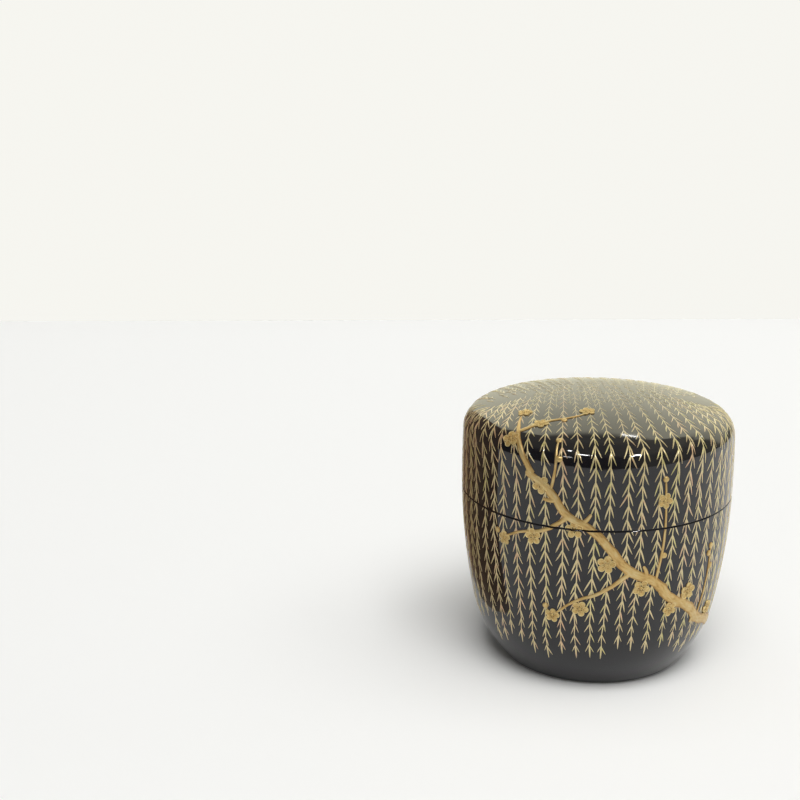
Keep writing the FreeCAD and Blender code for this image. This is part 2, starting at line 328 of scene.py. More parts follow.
class Outline:
    """The closed caddy's half section, as tangent arcs from the foot up to the lid's centre."""

    def __init__(self, shape):
        half = shape.diameter / 2
        belly = (half - shape.belly_radius, shape.widest_height)
        side = (half - shape.lid_side_radius, shape.widest_height)
        dome = (0, shape.height - shape.dome_radius)
        turn = math.asin((shape.belly_foot_height - shape.widest_height) / shape.belly_radius)
        foot = on_arc(belly, shape.belly_radius - shape.foot_arc_radius, turn)
        foot_turn = math.asin(-foot[1] / shape.foot_arc_radius)
        shoulder = self.shoulder(shape, side, dome)
        self.arcs = [
            (foot, shape.foot_arc_radius, foot_turn, turn),
            (belly, shape.belly_radius, turn, 0),
            (side, shape.lid_side_radius, 0, direction(side, shoulder)),
            (shoulder, shape.shoulder_radius, direction(side, shoulder), direction(dome, shoulder)),
            (dome, shape.dome_radius, direction(dome, shoulder), math.pi / 2),
        ]
        self.whole = sum(radius * (end - start) for centre, radius, start, end in self.arcs)
        self.cup_way = self.way_to(shape.seam_height)
        self.lid_way = self.whole - self.cup_way

    @staticmethod
    def shoulder(shape, side, dome):
        """Centre of the shoulder's arc, which touches the lid's side and its dome."""
        side_reach = shape.lid_side_radius - shape.shoulder_radius
        dome_reach = shape.dome_radius - shape.shoulder_radius
        across = dome[0] - side[0]
        up = dome[1] - side[1]
        between = math.hypot(across, up)
        along = (between**2 + side_reach**2 - dome_reach**2) / (2 * between)
        aside = math.sqrt(side_reach**2 - along**2)
        return (
            side[0] + (along * across - aside * up) / between,
            side[1] + (along * up + aside * across) / between,
        )

    def strokes(self, inset, low, high):
        """The outside between two heights, set in by a coat, as arcs to draw from low to high."""
        found = []
        for centre, full_radius, start, end in self.arcs:
            radius = full_radius - inset
            start = max(start, angle_at(centre, radius, low))
            end = min(end, angle_at(centre, radius, high))
            if end > start:
                found.append((centre, radius, start, end))
        return found

    def radius_at(self, inset, height):
        """Radius of the inset outside at a height."""
        for centre, full_radius, start, end in self.arcs:
            radius = full_radius - inset
            angle = angle_at(centre, radius, height)
            if start - 1e-6 <= angle <= end + 1e-6:
                return centre[0] + radius * math.cos(angle)
        raise ValueError("that height is off the caddy")

    def way_to(self, height):
        """Way along the outside from the foot up to a height."""
        way = 0
        for centre, radius, start, end in self.arcs:
            way += radius * (min(end, max(start, angle_at(centre, radius, height))) - start)
        return way

    def at(self, way):
        """Radius, height and the normal's elevation at a way up the outside."""
        left = way
        for centre, radius, start, end in self.arcs:
            if left <= radius * (end - start):
                break
            left -= radius * (end - start)
        angle = min(start + left / radius, math.pi / 2)
        return (*on_arc(centre, radius, angle), angle)

    def way_of_share(self, share):
        """Way up the outside for a share, which is 1 at the seam and 2 at the lid's centre."""
        return self.cup_way * min(share, 1) + self.lid_way * max(share - 1, 0)

    def spot(self, azimuth, way, lift):
        """Point at a place on the outside, lifted off it."""
        radius, height, angle = self.at(way)
        out = radius + lift * math.cos(angle)
        up = height + lift * math.sin(angle)
        return Vector((out * math.sin(azimuth), -out * math.cos(azimuth), up))

    def moved(self, azimuth, way, across, down):
        """The place reached from another by going across and down along the surface."""
        down_way = self.whole - way
        if down_way < FLAT_TOP:
            x = (down_way + down) * math.sin(azimuth) + across * math.cos(azimuth)
            y = -(down_way + down) * math.cos(azimuth) + across * math.sin(azimuth)
            return math.atan2(x, -y), self.whole - math.hypot(x, y)
        way = way - down
        return azimuth + across / self.at(way)[0], way


class Pen:
    """Draws a half section in the XZ plane, as by hand: a vertex is spun and extruded along it."""

    def __init__(self, start):
        deselect()
        bpy.ops.mesh.primitive_plane_add(size=MM, location=(start[0], 0, start[1]))
        bpy.ops.object.mode_set(mode="EDIT")
        bpy.ops.mesh.merge(type="CENTER")
        self.place = start

    def line(self, end):
        """Straight on to a point."""
        extrude((end[0] - self.place[0], 0, end[1] - self.place[1]))
        self.place = end

    def arc(self, centre, radius, start, end):
        """Along an arc, in steps of a few degrees."""
        turn = abs(end - start)
        steps = max(2, math.ceil(turn / ARC_ANGLE), math.ceil(radius * turn / ARC_CHORD))
        first = on_arc(centre, radius, start)
        if math.hypot(first[0] - self.place[0], first[1] - self.place[1]) > 1e-7:
            self.line(first)
        middle = (centre[0], 0, centre[1])
        bpy.ops.mesh.spin(steps=steps, angle=end - start, center=middle, axis=(0, 1, 0))
        self.place = on_arc(centre, radius, end)

    def arcs(self, strokes, backwards=False):
        """Along several arcs, from the first to the last or the other way."""
        if backwards:
            strokes = [(centre, radius, end, start) for centre, radius, start, end in reversed(strokes)]
        for stroke in strokes:
            self.arc(*stroke)

    def turned(self, name, steps):
        """The closed shell that the drawn section makes when it is turned round the axis."""
        bpy.ops.mesh.select_all(action="SELECT")
        bpy.ops.mesh.spin(steps=steps, angle=math.tau, center=(0, 0, 0), axis=(0, 0, 1))
        bpy.ops.mesh.select_all(action="SELECT")
        bpy.ops.mesh.remove_doubles(threshold=2e-6)
        end_edit()
        piece = named(name)
        smooth(piece, math.radians(35))
        return piece


def cup_side(shape, outline):
    """The coat on the cup's side, rounded over at the seam."""
    low = shape.outer_coat
    seam = shape.seam_height
    top = seam - shape.seam_rounding
    outside = outline.radius_at(0, top)
    pen = Pen((outline.radius_at(0, low), low))
    pen.arcs(outline.strokes(0, low, top))
    pen.arc((outside - shape.seam_rounding, top), shape.seam_rounding, 0, math.pi / 2)
    pen.line((outline.radius_at(shape.outer_coat, seam), seam))
    pen.arcs(outline.strokes(shape.outer_coat, low, seam), backwards=True)
    pen.line((outline.radius_at(0, low), low))
    return pen.turned("cup_side_lacquer", shape.steps)


def cup_foot(shape, outline):
    """The coat under the foot, with the shallow recess inside its ring."""
    coat = shape.outer_coat
    foot = outline.radius_at(0, 0)
    recess = foot - shape.foot_ring
    rounding = shape.foot_rounding
    pen = Pen((0, shape.recess))
    pen.line((recess - rounding, shape.recess))
    pen.arc((recess - rounding, shape.recess - rounding), rounding, math.pi / 2, 0)
    pen.line((recess, 0))
    pen.line((foot - rounding, 0))
    pen.arc((foot - rounding, rounding), rounding, -math.pi / 2, FOOT_TURN)
    pen.line((outline.radius_at(0, coat), coat))
    pen.line((recess + coat, coat))
    pen.line((recess + coat, shape.recess + coat))
    pen.line((0, shape.recess + coat))
    return pen.turned("cup_foot_lacquer", shape.steps)


def cup_inside_strokes(shape, outline, grown):
    """The cup's side and floor inside, from the mouth down, in from the outside by wall less coat."""
    wall = shape.skirt + shape.rim_gap + shape.rim_thickness - grown
    low, full_radius, start, end = outline.arcs[0]
    corner_radius = shape.floor_corner + grown
    reach = full_radius - wall - corner_radius
    rise = shape.floor_thickness - grown + corner_radius - low[1]
    corner = (low[0] + math.sqrt(reach**2 - rise**2), low[1] + rise)
    turn = direction(low, corner)
    floor_arc = (corner, corner_radius, -math.pi / 2, turn)
    sides = outline.strokes(wall, on_arc(corner, corner_radius, turn)[1], shape.seam_height)
    return [floor_arc, *sides], outline.radius_at(wall, shape.seam_height)


def cup_inside(shape, outline):
    """The coat on the ledge, over the rim and down the inside."""
    bore = outline.radius_at(0, shape.seam_height) - shape.skirt
    rim = bore - shape.rim_gap
    seam = shape.seam_height
    top = seam + RIM_SHARE * (lid_corner(shape, bore)[1] - seam)
    coat = shape.inner_coat
    edge = outline.radius_at(shape.outer_coat, seam)
    pen = Pen((edge, seam))
    for grown, backwards in ((0, False), (coat, True)):
        strokes, mouth = cup_inside_strokes(shape, outline, grown)
        rounding = shape.rim_rounding - grown
        rise = top - grown - rounding
        rim_side = rim - grown
        ledge = seam - grown
        if not backwards:
            pen.line((rim_side, ledge))
            pen.line((rim_side, rise))
            pen.arc((rim_side - rounding, rise), rounding, 0, math.pi / 2)
            pen.arc((mouth + rounding, rise), rounding, math.pi / 2, math.pi)
            pen.line((mouth, ledge))
            pen.arcs(strokes, backwards=True)
            pen.line((0, shape.floor_thickness))
        else:
            pen.line((0, shape.floor_thickness - grown))
            pen.arcs(strokes)
            pen.line((mouth, rise))
            pen.arc((mouth + rounding, rise), rounding, math.pi, math.pi / 2)
            pen.arc((rim_side - rounding, rise), rounding, math.pi / 2, 0)
            pen.line((rim_side, ledge))
            pen.line((edge, ledge))
    pen.line((edge, seam))
    return pen.turned("cup_inside_lacquer", shape.steps)


def lid_corner(shape, bore):
    """Centre of the arc between the lid's bore and its ceiling."""
    across = bore - shape.lid_corner
    reach = shape.dome_radius - shape.lid_thickness - shape.lid_corner
    return across, shape.height - shape.dome_radius + math.sqrt(reach**2 - across**2)


def lid_outside(shape, outline):
    """The coat on the lid's side, shoulder and dome, rounded under at the seam."""
    seam = shape.seam_height
    low = seam + shape.seam_rounding
    coat = shape.outer_coat
    outside = outline.radius_at(0, low)
    pen = Pen((0, shape.height))
    pen.arcs(outline.strokes(0, low, shape.height), backwards=True)
    pen.arc((outside - shape.seam_rounding, low), shape.seam_rounding, 0, -math.pi / 2)
    pen.line((outline.radius_at(coat, seam), seam))
    pen.arcs(outline.strokes(coat, seam, shape.height))
    return pen.turned("lid_outside_lacquer", shape.steps)


def lid_inside(shape, outline):
    """The coat on the lid's lower edge, in its bore and on its ceiling."""
    seam = shape.seam_height
    bore = outline.radius_at(0, seam) - shape.skirt
    edge = outline.radius_at(shape.outer_coat, seam)
    corner = lid_corner(shape, bore)
    dome = (0, shape.height - shape.dome_radius)
    turn = direction(dome, corner)
    ceiling = shape.dome_radius - shape.lid_thickness
    coat = shape.inner_coat
    rounding = 0.3 * MM
    pen = Pen((edge, seam))
    pen.line((bore + rounding, seam))
    pen.arc((bore + rounding, seam + rounding), rounding, -math.pi / 2, -math.pi)
    pen.line((bore, corner[1]))
    pen.arc(corner, shape.lid_corner, 0, turn)
    pen.arc(dome, ceiling, turn, math.pi / 2)
    pen.line((0, dome[1] + ceiling + coat))
    pen.arc(dome, ceiling + coat, math.pi / 2, turn)
    pen.arc(corner, shape.lid_corner + coat, turn, 0)
    pen.line((bore + coat, seam + 2 * coat))
    pen.line((edge, seam + 2 * coat))
    pen.line((edge, seam))
    return pen.turned("lid_inside_lacquer", shape.steps)


def strip_unit(name, along, across):
    """A flat closed strip from y 0 to 1, 1 wide, with its top at z 1 and its bottom at z 0."""
    deselect()
    bpy.ops.mesh.primitive_grid_add(
        x_subdivisions=across, y_subdivisions=along, size=1, location=(0, 0.5, 0)
    )
    strip = named(name)
    edit(strip)
    extrude((0, 0, 1))
    end_edit()
    return strip


def leaf_unit(willow):
    """One slender willow leaf that points down from its base and tapers to its tip."""
    rows = len(LEAF_WIDTHS) - 1
    leaf = strip_unit("willow_leaf", rows, 1)
    edit(leaf)
    for row, width in enumerate(LEAF_WIDTHS):
        select_where(leaf, lambda place: abs(place.y * rows - row) < 0.1)
        resize(width, 1, 1)
    select_where(leaf, lambda place: place.z > 0.5)
    resize(LEAF_TOP, 1, 1)
    bpy.ops.mesh.select_all(action="SELECT")
    resize(willow.leaf_width, -willow.leaf_length, 0.9 * willow.relief)
    move(0, 0, -SUNK)
    end_edit()
    return leaf


class Copies:
    """Gathers copies of units, each laid on the surface vertex by vertex, into one mesh.

    Each vertex carries a mark of three numbers that its finish reads, such as its stroke's tone.
    """

    def __init__(self):
        self.vertices = []
        self.marks = []
        self.faces = []

    def add(self, unit, place_of, mark_of):
        """A copy of a unit whose vertices go where place_of puts them and carry what mark_of gives."""
        first = len(self.vertices)
        self.vertices += [place_of(vertex.co) for vertex in unit.data.vertices]
        self.marks += [mark_of(vertex.co) for vertex in unit.data.vertices]
        self.faces += [[first + corner for corner in face.vertices] for face in unit.data.polygons]

    def take(self, others):
        """All that another gathering holds, too."""
        first = len(self.vertices)
        self.vertices += others.vertices
        self.marks += others.marks
        self.faces += [[first + corner for corner in face] for face in others.faces]

    def piece(self, name):
        """The gathered copies as a piece."""
        mesh = bpy.data.meshes.new(name)
        mesh.from_pydata(self.vertices, [], self.faces)
        marks = mesh.attributes.new("stroke", "FLOAT_VECTOR", "POINT")
        marks.data.foreach_set("vector", [part for mark in self.marks for part in mark])
        piece = bpy.data.objects.new(name, mesh)
        bpy.context.scene.collection.objects.link(piece)
        return piece


def cut_at_seam(piece, height, keep_above):
    """Cuts a piece level and closes it, keeping what is above or below."""
    edit(piece)
    bpy.ops.mesh.bisect(
        plane_co=(0, 0, height),
        plane_no=(0, 0, 1),
        clear_inner=keep_above,
        clear_outer=not keep_above,
        threshold=1e-7,
    )
    bpy.ops.mesh.select_all(action="SELECT")
    bpy.ops.mesh.fill_holes(sides=0)
    end_edit()


class Strand:
    """The path of a willow strand: places along it, its length and its heading."""

    def __init__(self, outline, places):
        self.outline = outline
        self.places = places
        self.ways = [0]
        for before, after in zip(places, places[1:]):
            gap = (outline.spot(*after, 0) - outline.spot(*before, 0)).length
            self.ways.append(self.ways[-1] + gap)
        self.length = self.ways[-1]
        self.sway = []

    def at(self, way):
        """Azimuth and way up the outside, at a way down the strand."""
        way = min(max(way, 0), self.length)
        high = min(max(bisect(self.ways, way), 1), len(self.ways) - 1)
        low = high - 1
        share = (way - self.ways[low]) / max(self.ways[high] - self.ways[low], 1e-9)
        first, last = self.places[low], self.places[high]
        turn = (last[0] - first[0] + math.pi) % math.tau - math.pi
        return first[0] + turn * share, first[1] + (last[1] - first[1]) * share

    def aside(self, way):
        """How far the stem sways aside, with a kink at each pair of leaves."""
        if not self.sway:
            return 0
        number = bisect(self.sway, way, key=lambda knot: knot[0])
        before = self.sway[max(number - 1, 0)]
        after = self.sway[min(number, len(self.sway) - 1)]
        if after is before:
            return before[1]
        share = (way - before[0]) / (after[0] - before[0])
        return before[1] + (after[1] - before[1]) * share

    def heading(self, way):
        """Unit step down the strand, as its parts across and down."""
        step = 0.4 * MM
        first = self.at(max(0, way - step))
        last = self.at(min(self.length, way + step))
        turn = (last[0] - first[0] + math.pi) % math.tau - math.pi
        middle = (first[1] + last[1]) / 2
        across = turn * self.outline.at(middle)[0]
        down = first[1] - last[1]
        size = math.hypot(across, down)
        return across / size, down / size

    def place(self, way, aside, along):
        """The place reached from the stem by going aside and on along it."""
        azimuth, up = self.at(way)
        across, down = self.heading(way)
        aside += self.aside(way)
        return self.outline.moved(
            azimuth, up, along * across + aside * down, along * down - aside * across
        )


def strand_places(outline, willow, azimuth, start_depth, end_way):
    """Places down a strand, from its start on the lid's top over the shoulder to its end.

    On the top a strand runs in a straight line, seen from above, towards a point far behind it. The
    strands beside run to the lid's centre and are shorter, so that they don't meet. On the side a
    strand hangs plumb, and it eases over the shoulder between the two.
    """
    steps = 60
    brim = 40 * MM
    ease = 20 * MM
    bend = brim - ease / 2
    front = 1 if math.cos(azimuth) >= 0 else -1
    rim_place = Vector((brim * math.sin(azimuth), -brim * math.cos(azimuth)))
    beside = math.sin(azimuth) ** 12
    towards = Vector((0, front * willow.fan * (1 - beside))) - rim_place
    towards.normalize()
    run = front * (start_depth - rim_place.y) / max(0.02, front * towards.y)
    longest = (9 + 44 * math.cos(azimuth) ** 2) * MM
    run = min(max(run, 9 * MM * beside), longest)
    places = []
    for step in range(steps, -1, -1):
        plan = rim_place + towards * (run * step / steps)
        reach = min(plan.length, brim)
        if reach > bend:
            reach = bend + ease * (1 - math.sqrt(max(0, 1 - (reach - bend) / (ease / 2))))
        places.append((math.atan2(plan.x, -plan.y), outline.whole - reach))
    last = places[-1][1]
    for step in range(1, steps + 1):
        share = step / steps
        drift = math.radians(0.9) * math.sin(6 * share + 5.3 * azimuth) * share
        places.append((azimuth + drift, last + (end_way - last) * share))
    return places


def fineness(strand, way):
    """Share of the full width of a stroke, which is drawn finer on the lid's top."""
    depth = strand.outline.whole - strand.at(way)[1]
    return FINEST + (1 - FINEST) * min(1, max(0, (depth - 14 * MM) / (24 * MM)))


def lay_strand(copies, strand, leaf, stem, willow, choice, short):
    """Lays a strand's stem and its pairs of leaves, with a single leaf at its tip."""
    spacing = willow.leaf_spacing
    knots = []
    way = spacing * choice.uniform(0.2, 0.6)
    side = choice.choice((-1, 1))
    while way < strand.length - 1.1 * willow.leaf_length:
        knots.append((way, side * choice.uniform(0.02, 0.16) * MM))
        side = -side
        way += spacing * choice.uniform(0.88, 1.12)
    strand.sway = knots
    last = knots[-1][0]
    full_width = willow.stem_width * (0.75 if short else 1)
    stem_lift = choice.uniform(0.85, 1.0)
    tone = choice.uniform(0.25, 0.75)

    def stem_place(corner):
        way = corner.y * (last + 0.8 * MM)
        width = full_width * (0.7 + 0.3 * min(1, (last - way) / (12 * MM))) * fineness(strand, way)
        taper = 1 - 0.4 * corner.z
        place = strand.place(way, corner.x * width * taper, 0)
        return strand.outline.spot(*place, stem_lift * willow.relief if corner.z > 0.5 else -SUNK)

    copies.add(stem, stem_place, lambda corner: (tone, fineness(strand, corner.y * last), 0))
    for way, aside in knots:
        size = min(1, 0.72 + (last - way) / (80 * MM)) * (0.8 if short else 1)
        for hand in (-1, 1):
            spread = hand * willow.spread * choice.uniform(0.78, 1.2)
            bend = hand * choice.uniform(-0.15, 0.22) * MM
            reach = size * choice.uniform(0.84, 1.1)
            slip = choice.uniform(-0.14, 0.14) * spacing
            lift = choice.uniform(0.9, 1.25)
            own_tone = tone + choice.uniform(-0.28, 0.28)
            place_leaf(copies, strand, leaf, way + slip, spread, bend, reach, lift, own_tone)
    place_leaf(copies, strand, leaf, last + 0.1 * MM, 0, 0, 0.8 if short else 1.12, 1, tone)


def place_leaf(copies, strand, leaf, way, spread, bend, size, lift, tone):
    """Lays one leaf that springs from the stem at a way down it."""
    azimuth, up = strand.at(way)
    across, down = strand.heading(way)
    base = strand.outline.moved(azimuth, up, strand.aside(way) * down, -strand.aside(way) * across)
    cosine, sine = math.cos(spread), math.sin(spread)
    # The stroke's fineness, which sets the leaf's size and, in its finish, painted shade.
    powder = fineness(strand, way)
    reach = size * (0.6 + 0.4 * powder)
    width = size * powder

    def leaf_place(corner):
        along = -corner.y * reach
        aside = corner.x * width + bend * (along / (3 * MM)) ** 2
        on = along * cosine - aside * sine
        off = along * sine + aside * cosine
        place = strand.outline.moved(*base, on * across + off * down, on * down - off * across)
        return strand.outline.spot(*place, corner.z * lift if corner.z > 0 else corner.z)

    copies.add(leaf, leaf_place, lambda corner: (tone, powder, 0))


def hang_willow(shape, willow):
    """The strands all round, as one piece on the cup and one on the lid."""
    outline = Outline(shape)
    choice = random.Random(willow.seed)
    leaf = leaf_unit(willow)
    stem = strip_unit("willow_stem", 96, 1)
    short_stem = strip_unit("willow_short_stem", 24, 1)
    cup, lid = Copies(), Copies()
    for number in range(willow.strands):
        azimuth = math.radians(-2) + math.tau * number / willow.strands
        azimuth += math.radians(choice.uniform(-0.9, 0.9))
        front = 1 if math.cos(azimuth) >= 0 else -1
        beside = math.sin(azimuth) ** 6
        depth = 5 * MM + front * (choice.uniform(-5, 4) - 7 * beside) * MM
        end = willow.bare_foot + choice.uniform(-1.5, 3.5) * MM
        places = strand_places(outline, willow, azimuth, depth, end)
        strand = Strand(outline, places)
        laid = Copies()
        lay_strand(laid, strand, leaf, stem, willow, choice, False)
        cup.take(laid)
        lid.take(laid)
        if abs(math.cos(azimuth)) > 0.45:
            half = azimuth + math.pi / willow.strands
            start = 5 * MM + front * choice.uniform(0, 7) * MM
            places = strand_places(outline, willow, half, start, end)[: choice.randint(26, 34)]
            lay_strand(lid, Strand(outline, places), leaf, short_stem, willow, choice, True)
    for unit in (leaf, stem, short_stem):
        bpy.data.objects.remove(unit)
    return seam_pair(shape, cup, lid, "willow")


def smoothed(places, rounds):
    """A chain of places with its corners cut, its ends kept."""
    for turn in range(rounds):
        cut = [places[0]]
        for first, last in zip(places, places[1:]):
            for share in (0.25, 0.75):
                cut.append(tuple(a + (b - a) * share for a, b in zip(first, last)))
        places = [*cut, places[-1]]
    return places


def lay_limb(copies, outline, strip, shares, widths, relief, choice):
    """Lays a tapering limb through its places, with knots on either edge and furrows in its bark."""
    places = [(math.radians(a), outline.way_of_share(s)) for a, s in smoothed(shares, 2)]
    path = Strand(outline, places)
    knots = []
    for number in range(int(path.length / KNOT_SPACING)):
        way = choice.uniform(0.04, 0.96) * path.length
        side = choice.choice((-1, 1))
        swell = choice.uniform(-0.10, 0.24)
        knots.append((way, side, swell, choice.uniform(0.4, 1.0) * MM))
    phase = choice.uniform(0, math.tau)
    tone = choice.uniform(0, 1)

    def width_at(way, hand):
        width = widths[0] + (widths[1] - widths[0]) * way / path.length
        width *= 1 + 0.04 * math.sin(way / MM * 1.3 + phase + 2 * hand)
        for knot, side, swell, spread in knots:
            if side * hand > 0:
                width *= 1 + swell * math.exp(-(((way - knot) / spread) ** 2))
        end = min(way, path.length - way) / (0.5 * widths[1])
        if end < 1:
            width *= 0.35 + 0.65 * math.sqrt(1 - (1 - end) ** 2)
        return width

    def limb_place(corner):
        way = corner.y * path.length
        across = 2 * corner.x
        width = width_at(way, across)
        ridge = 1 - 0.55 * across**2
        furrow = 0.13 * math.sin(11 * across + 1.3 * math.sin(way / MM * 0.7 + phase))
        place = path.place(way, corner.x * width, 0)
        lift = relief * min(1, 0.55 + 0.45 * width / (2 * MM)) * (ridge + furrow * (1 - across**2))
        return outline.spot(*place, lift if corner.z > 0.5 else -0.05 * MM)

    copies.add(strip, limb_place, lambda corner: (2 * corner.x, corner.y * path.length / MM, tone))


def raise_bough(shape, plum):
    """The bough with its branches and shoots, as one piece on the cup and one on the lid."""
    outline = Outline(shape)
    choice = random.Random(plum.seed)
    long_strip = strip_unit("limb_strip", 120, 12)
    thin_strip = strip_unit("twig_strip", 48, 6)
    bough = Copies()
    for chains, strip, *widths in (
        ([MAIN_BOUGH], long_strip, plum.bough_width, plum.bough_end_width),
        ([TOP_BOUGH], thin_strip, plum.bough_end_width, plum.tip_width),
        (BRANCHES, thin_strip, plum.branch_width, plum.tip_width),
        (SHOOTS, thin_strip, plum.shoot_width, plum.tip_width),
        (SPURS, thin_strip, plum.branch_width, plum.shoot_width),
    ):
        for shares in chains:
            lay_limb(bough, outline, strip, shares, widths, plum.relief, choice)
    for unit in (long_strip, thin_strip):
        bpy.data.objects.remove(unit)
    return seam_pair(shape, bough, bough, "bough", "gold_bough")


def seam_pair(shape, cup, lid, name, node=None):
    """What is gathered for the cup and for the lid, cut apart at the seam, as a piece on each.

    With a node, each replaces its own body's node of that name.
    """
    gap = bpy.context.scene.caddy_willow.seam_gap
    pieces = []
    for copies, place, body, above in ((cup, "cup", "body", False), (lid, "lid", "lid", True)):
        piece = copies.piece(f"{name}_on_{place}")
        cut_at_seam(piece, shape.seam_height + (gap if above else -gap), above)
        smooth(piece, math.radians(50))
        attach(piece, body)
        if node:
            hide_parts(f"{body}_{node}")
        pieces.append(piece)
    return pieces


def petal_unit(size):
    """One round petal with a raised rim and a dished middle, out from the flower's centre."""
    deselect()
    bpy.ops.mesh.primitive_circle_add(
        vertices=24, radius=0.186 * size, fill_type="NGON", location=(0, 0.309 * size, -0.05 * MM)
    )
    petal = named("plum_petal")
    edit(petal)
    bpy.ops.mesh.select_mode(type="FACE")
    bpy.ops.mesh.select_all(action="SELECT")
    extrude((0, 0, 0.25 * MM))
    for inward, rise in ((0.06, 0.10), (0.12, 0), (0.09, -0.15), (0.28, 0.05)):
        bpy.ops.mesh.inset(thickness=inward * MM, depth=rise * MM)
    end_edit()
    return petal


def stamen_unit(size):
    """A stamen: a thin ridge out from the centre, with a round end."""
    deselect()
    bpy.ops.mesh.primitive_cube_add(size=1, location=(0, 0.5, 0))
    stamen = named("plum_stamen")
    edit(stamen)
    resize(0.09 * MM, 0.21 * size, 0.30 * MM)
    move(0, 0.08 * size, 0.16 * MM)
    deselect()
    bpy.ops.mesh.primitive_uv_sphere_add(
        segments=8, ring_count=6, radius=0.13 * MM, location=(0, 0.29 * size, 0.28 * MM)
    )
    head = named("plum_anther")
    choose(stamen)
    head.select_set(True)
    bpy.ops.object.join()
    return stamen


def blossom_unit(size):
    """A whole flower: five petals round a domed heart, with a ring of stamens."""
    petal = petal_unit(size)
    stamen = stamen_unit(size)
    flower = Copies()
    for number in range(5):
        turn = Matrix.Rotation(math.tau * number / 5, 3, "Z")
        flower.add(petal, lambda corner: turn @ corner, tuple)
    for number in range(10):
        turn = Matrix.Rotation(math.tau * (number + 0.5) / 10, 3, "Z")
        reach = 1.0 if number % 2 else 0.8
        flower.add(stamen, lambda corner: turn @ Vector((corner.x, corner.y * reach, corner.z)), tuple)
    deselect()
    bpy.ops.mesh.primitive_uv_sphere_add(segments=16, ring_count=8, radius=0.1 * size)
    bpy.ops.object.mode_set(mode="EDIT")
    resize(1, 1, 0.8)
    move(0, 0, 0.08 * MM)
    heart = named("plum_heart")
    flower.add(heart, lambda corner: corner.copy(), tuple)
    for unit in (petal, stamen, heart):
        bpy.data.objects.remove(unit)
    return flower.piece("plum_blossom")


def bud_unit(size):
    """A closed bud: a flattened ball in a small calyx."""
    deselect()
    bpy.ops.mesh.primitive_uv_sphere_add(segments=20, ring_count=10, radius=size / 2)
    bud = named("plum_bud")
    edit(bud)
    resize(1, 1, 0.5)
    select_where(bud, lambda place: place.y < -0.2 * size)
    resize(0.8, 1, 1.1)
    bpy.ops.object.mode_set(mode="OBJECT")
    return bud


def open_blossoms(shape, plum):
    """The blossoms and buds, as one piece on the cup and one on the lid."""
    outline = Outline(shape)
    choice = random.Random(plum.seed + 1)
    flower = blossom_unit(plum.blossom)
    bud = bud_unit(plum.bud)
    blossoms = Copies()
    for unit, places in ((flower, BLOSSOMS), (bud, [(*place, 1) for place in BUDS])):
        for azimuth, share, size in places:
            place = (math.radians(azimuth), outline.way_of_share(share))
            turn = Matrix.Rotation(choice.uniform(0, math.tau), 3, "Z")
            tone = choice.uniform(0, 1)

            def laid(corner):
                corner = turn @ corner
                spot = outline.moved(*place, corner.x * size, -corner.y * size)
                return outline.spot(*spot, corner.z)

            # Each vertex is marked with its reach from the centre, its height, which the finish turns
            # into painted shade, and its tone.
            blossoms.add(unit, laid, lambda corner: (corner.xy.length / MM, corner.z / MM, tone))
    for unit in (flower, bud):
        bpy.data.objects.remove(unit)
    return seam_pair(shape, blossoms, blossoms, "blossoms", "gold_blossoms")


class Nodes:
    """A tree of shader nodes that is built up one by one."""

    def __init__(self, tree):
        self.tree = tree

    def add(self, kind, settings=None, **inputs):
        """A new node with its settings and with its inputs set or linked."""
        node = self.tree.nodes.new(kind)
        for key, value in (settings or {}).items():
            setattr(node, key, value)
        for key, value in inputs.items():
            self.set(node, key.replace("_", " "), value)
        return node

    def set(self, node, key, value):
        """Sets or links one input of a node."""
        socket = node.inputs[key]
        if isinstance(value, bpy.types.NodeSocket):
            self.tree.links.new(value, socket)
        elif socket.type == "RGBA" and len(value) == 3:
            socket.default_value = (*value, 1)
        else:
            socket.default_value = value

    def math(self, operation, *values):
        """Result of a sum on values or sockets."""
        node = self.add("ShaderNodeMath", {"operation": operation})
        for number, value in enumerate(values):
            self.set(node, number, value)
        return node.outputs[0]

    def plus(self, first, second):
        """Sum of two values or sockets."""
        return self.math("ADD", first, second)

    def times(self, first, second):
        """Product of two values or sockets."""
        return self.math("MULTIPLY", first, second)

    def between(self, value, low, high, to_low=0, to_high=1, eased=False):
        """A value taken from one range to another, with eased ends if wanted."""
        kind = "SMOOTHSTEP" if eased else "LINEAR"
        node = self.add("ShaderNodeMapRange", {"interpolation_type": kind}, Value=value)
        for number, limit in enumerate((low, high, to_low, to_high), start=1):
            self.set(node, number, limit)
        return node.outputs[0]

    def ramp(self, value, *stops):
        """Colours along a value, each stop a place and a colour."""
        node = self.add("ShaderNodeValToRGB", Fac=value)
        elements = node.color_ramp.elements
        while len(elements) < len(stops):
            elements.new(0.5)
        for element, (place, tint) in zip(elements, stops):
            element.position = place
            element.color = (*tint, 1)
        return node.outputs["Color"]


